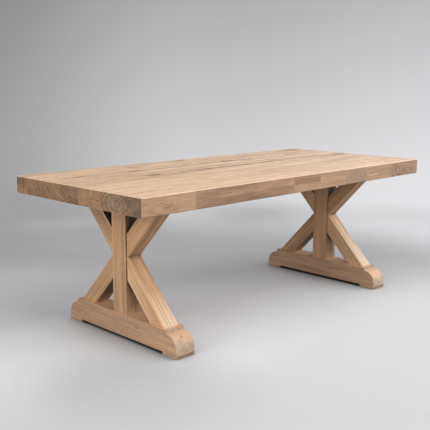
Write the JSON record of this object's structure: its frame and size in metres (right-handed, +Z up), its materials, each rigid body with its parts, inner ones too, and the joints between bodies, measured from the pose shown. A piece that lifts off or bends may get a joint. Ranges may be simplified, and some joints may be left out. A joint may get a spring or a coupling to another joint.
{
  "type": "trestle dining table",
  "caption": "Rectangular oak dining table: a thick glued-up plank top with butt-jointed edge staves, on X-braced trestles with stepped quarter-round feet.",
  "frame": {"origin": "on the floor, under the middle of the top", "axes": "+X along the length of the table, +Y across it from front to back, +Z up"},
  "size_m": [2.18, 0.98, 0.78],
  "materials": {
    "oak_plank": "oiled, sanded",
    "oak_stave": "oiled, sanded",
    "oak_trestle": "oiled, sanded",
    "beech": "raw, planed",
    "plated_steel": "zinc plated",
    "insert_steel": "plated"
  },
  "bodies": {
    "root": {"back_block_1": "oak_stave", "back_block_2_lower": "oak_stave", "back_block_2_upper": "oak_stave", "back_block_3_lower": "oak_stave", "back_block_3_upper": "oak_stave", "back_block_4": "oak_stave", "back_block_5": "oak_stave", "back_block_6": "oak_stave", "back_block_7": "oak_stave", "front_block_1": "oak_stave", "front_block_2_lower": "oak_stave", "front_block_2_upper": "oak_stave", "front_block_3_lower": "oak_stave", "front_block_3_upper": "oak_stave", "front_block_4": "oak_stave", "front_block_5": "oak_stave", "front_block_6": "oak_stave", "front_block_7": "oak_stave", "left_back_pad": "oak_trestle", "left_bearer": "oak_trestle", "left_bolts": "plated_steel", "left_brace_rising_back": "oak_trestle", "left_brace_rising_front": "oak_trestle", "left_foot": "oak_trestle", "left_front_pad": "oak_trestle", "left_inner_post_leaf": "oak_trestle", "left_inserts": "insert_steel", "left_loose_tenons": "beech", "left_outer_post_leaf": "oak_trestle", "left_washers": "plated_steel", "right_back_pad": "oak_trestle", "right_bearer": "oak_trestle", "right_bolts": "plated_steel", "right_brace_rising_back": "oak_trestle", "right_brace_rising_front": "oak_trestle", "right_foot": "oak_trestle", "right_front_pad": "oak_trestle", "right_inner_post_leaf": "oak_trestle", "right_inserts": "insert_steel", "right_loose_tenons": "beech", "right_outer_post_leaf": "oak_trestle", "right_washers": "plated_steel", "top_plank_1": "oak_plank", "top_plank_2": "oak_plank", "top_plank_3": "oak_plank", "top_plank_4": "oak_plank", "top_plank_5": "oak_plank"}
  },
  "joints": []
}
